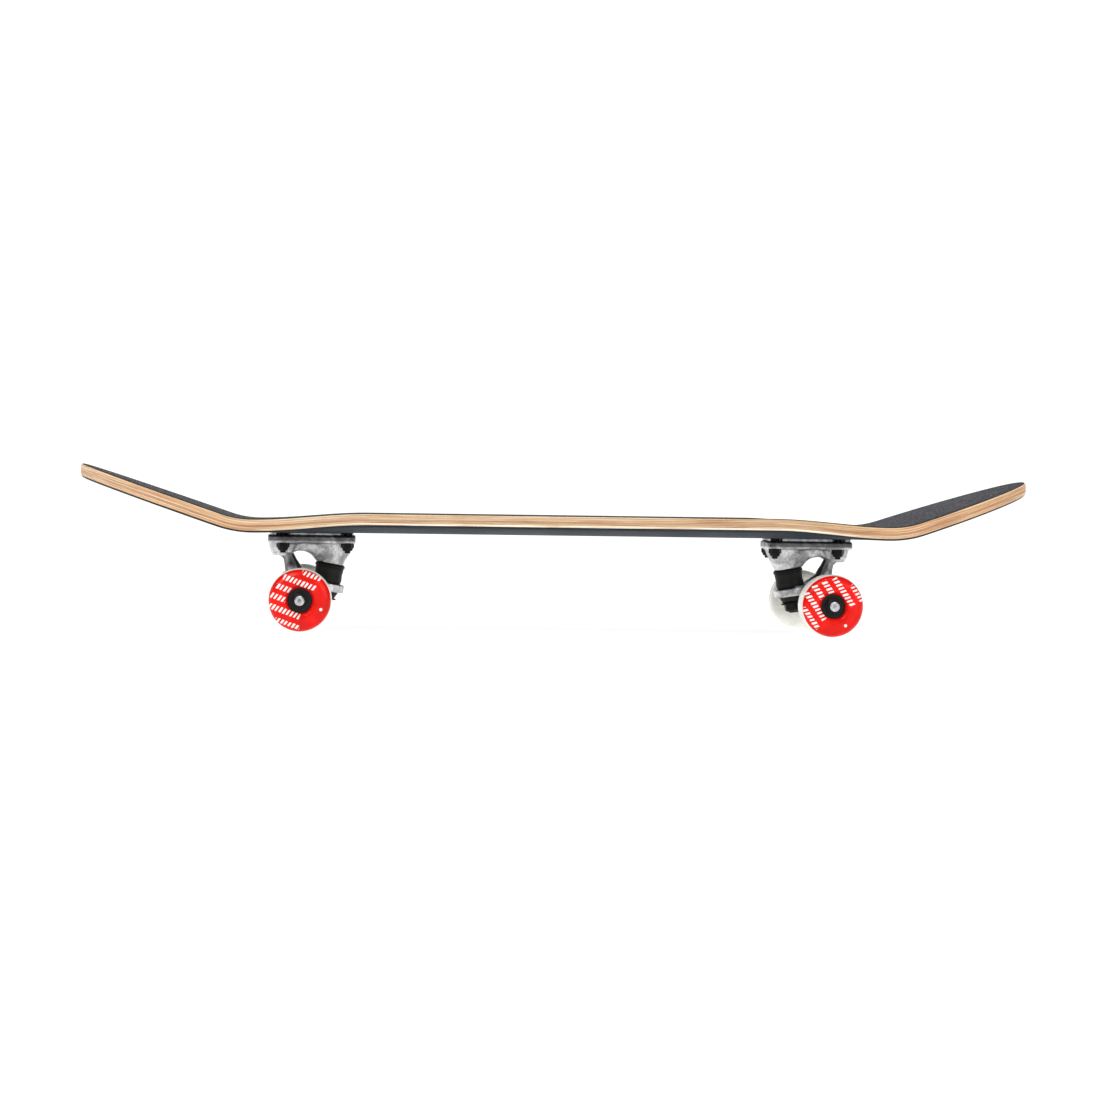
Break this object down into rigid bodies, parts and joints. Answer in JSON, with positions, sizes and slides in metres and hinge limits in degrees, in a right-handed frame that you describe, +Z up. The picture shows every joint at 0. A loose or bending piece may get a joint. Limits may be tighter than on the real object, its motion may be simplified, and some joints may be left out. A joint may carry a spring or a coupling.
{
  "type": "skateboard",
  "caption": "Street skateboard with a kicked, concave plywood deck with grip tape, cast steering trucks on rubber bushings and free-spinning urethane wheels.",
  "frame": {"origin": "on the ground, under the centre of the board's bounding box", "axes": "+X from the nose to the tail, +Y to the board's far side, +Z up; the board stands on its four wheels"},
  "size_m": [0.804, 0.203, 0.1365],
  "materials": {
    "maple_ply": "satin",
    "cream_ply": "satin",
    "red_ply": "satin",
    "bottom_ply": "gloss lacquer",
    "grip_tape": "gritty",
    "black_steel": "satin",
    "cast_aluminium": "tumbled",
    "pivot_plastic": "matte",
    "plated_steel": "zinc plated",
    "bushing_urethane": "satin",
    "black_nut": "satin",
    "axle_steel": "ground",
    "bearing_steel": "polished",
    "black_race": "satin",
    "cage_nylon": "matte",
    "shield_rubber": "satin",
    "wheel_urethane": "satin"
  },
  "bodies": {
    "board": {"ply_1": "bottom_ply", "ply_2": "cream_ply", "ply_3": "maple_ply", "ply_4": "red_ply", "ply_5": "maple_ply", "ply_6": "maple_ply", "ply_7": "maple_ply", "grip_tape": "grip_tape", "mounting_bolts_front": "black_steel", "mounting_nuts_front": "black_steel", "baseplate_front": "cast_aluminium", "pivot_cup_front": "pivot_plastic", "kingpin_front": "plated_steel", "kingpin_nut_front": "plated_steel", "washer_top_front": "plated_steel", "washer_bottom_front": "plated_steel", "bushing_top_front": "bushing_urethane", "bushing_bottom_front": "bushing_urethane", "mounting_bolts_rear": "black_steel", "mounting_nuts_rear": "black_steel", "baseplate_rear": "cast_aluminium", "pivot_cup_rear": "pivot_plastic", "kingpin_rear": "plated_steel", "kingpin_nut_rear": "plated_steel", "washer_top_rear": "plated_steel", "washer_bottom_rear": "plated_steel", "bushing_top_rear": "bushing_urethane", "bushing_bottom_rear": "bushing_urethane"},
    "hanger_front": {"hanger_front": "cast_aluminium", "axle_front": "axle_steel", "axle_nuts_front": "black_nut", "bearing_spacers_front": "plated_steel", "speed_washers_front": "plated_steel", "bearing_inner_rings_front": "bearing_steel"},
    "wheel_front_near": {"wheel_front_near": "wheel_urethane", "bearing_outer_rings_front_near": "black_race", "bearing_balls_front_near": "bearing_steel", "bearing_cages_front_near": "cage_nylon", "bearing_shields_front_near": "shield_rubber"},
    "wheel_front_far": {"wheel_front_far": "wheel_urethane", "bearing_outer_rings_front_far": "black_race", "bearing_balls_front_far": "bearing_steel", "bearing_cages_front_far": "cage_nylon", "bearing_shields_front_far": "shield_rubber"},
    "hanger_rear": {"hanger_rear": "cast_aluminium", "axle_rear": "axle_steel", "axle_nuts_rear": "black_nut", "bearing_spacers_rear": "plated_steel", "speed_washers_rear": "plated_steel", "bearing_inner_rings_rear": "bearing_steel"},
    "wheel_rear_near": {"wheel_rear_near": "wheel_urethane", "bearing_outer_rings_rear_near": "black_race", "bearing_balls_rear_near": "bearing_steel", "bearing_cages_rear_near": "cage_nylon", "bearing_shields_rear_near": "shield_rubber"},
    "wheel_rear_far": {"wheel_rear_far": "wheel_urethane", "bearing_outer_rings_rear_far": "black_race", "bearing_balls_rear_far": "bearing_steel", "bearing_cages_rear_far": "cage_nylon", "bearing_shields_rear_far": "shield_rubber"}
  },
  "joints": [
    {"name": "steer_front", "type": "hinge", "parent": "board", "child": "hanger_front", "pos_m": [-0.233, 0, 0.066], "axis": [-0.7695, 0, 0.6387], "range_deg": [-15, 15], "stiffness_Nm_per_rad": 20, "deforming": ["bushing_top_front", "bushing_bottom_front"]},
    {"name": "spin_front_near", "type": "hinge", "parent": "hanger_front", "child": "wheel_front_near", "pos_m": [-0.216, -0.0794, 0.026], "axis": [0, 1, 0], "continuous": true},
    {"name": "spin_front_far", "type": "hinge", "parent": "hanger_front", "child": "wheel_front_far", "pos_m": [-0.216, 0.0794, 0.026], "axis": [0, 1, 0], "continuous": true},
    {"name": "steer_rear", "type": "hinge", "parent": "board", "child": "hanger_rear", "pos_m": [0.239, 0, 0.066], "axis": [0.7695, 0, 0.6387], "range_deg": [-15, 15], "stiffness_Nm_per_rad": 20, "deforming": ["bushing_top_rear", "bushing_bottom_rear"]},
    {"name": "spin_rear_near", "type": "hinge", "parent": "hanger_rear", "child": "wheel_rear_near", "pos_m": [0.222, -0.0794, 0.026], "axis": [0, 1, 0], "continuous": true},
    {"name": "spin_rear_far", "type": "hinge", "parent": "hanger_rear", "child": "wheel_rear_far", "pos_m": [0.222, 0.0794, 0.026], "axis": [0, 1, 0], "continuous": true}
  ]
}
